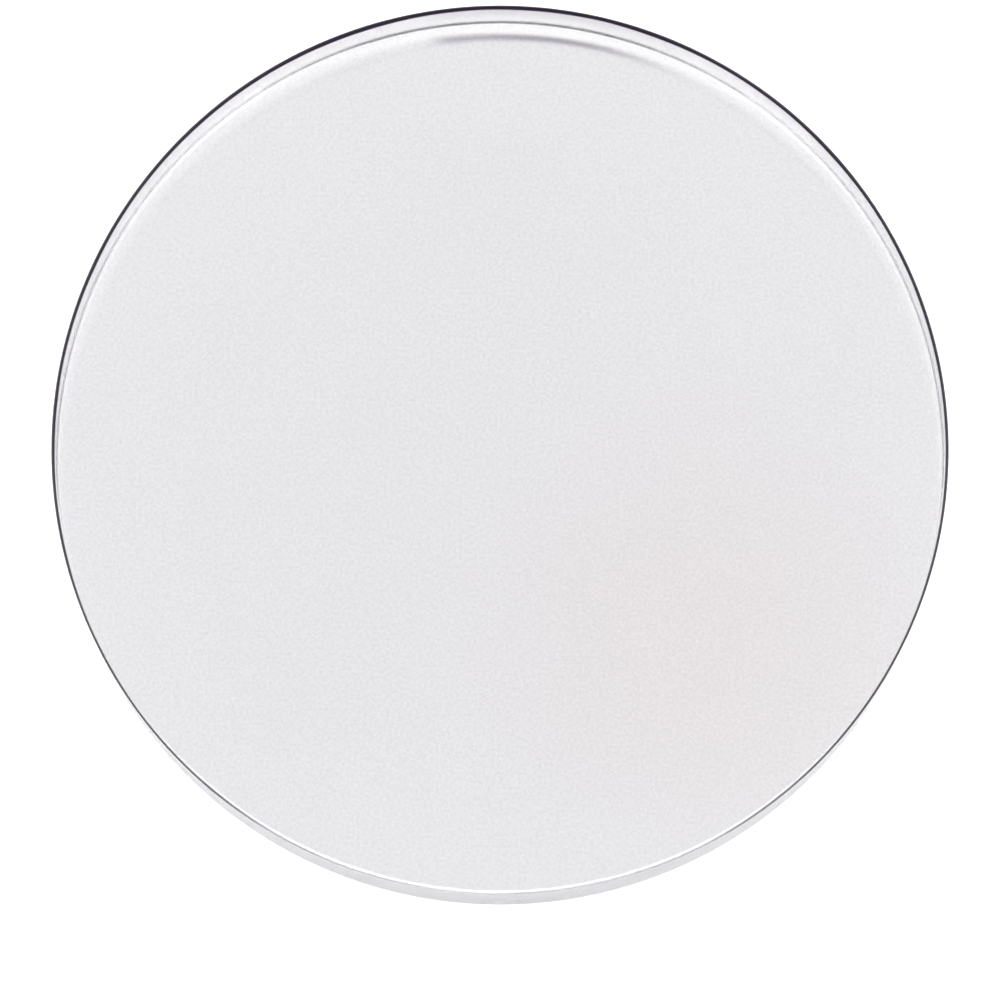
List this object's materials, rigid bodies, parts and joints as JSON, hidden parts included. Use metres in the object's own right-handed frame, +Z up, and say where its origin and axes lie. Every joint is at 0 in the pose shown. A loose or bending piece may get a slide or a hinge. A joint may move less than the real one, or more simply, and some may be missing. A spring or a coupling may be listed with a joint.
{
  "type": "circle template",
  "caption": "Solid clear round disc with polished faces, straight rim and lightly rounded edges, drawn or cut round by its rim.",
  "frame": {"origin": "centre of the underside, on the disc's axis", "axes": "+Z up along the disc's axis, from the underside to the upper face; X and Y lie in the underside"},
  "size_m": [0.0382, 0.0382, 0.006],
  "materials": {
    "clear_acrylic": "polished, colourless and transparent"
  },
  "bodies": {
    "root": {"disc": "clear_acrylic"}
  },
  "joints": []
}
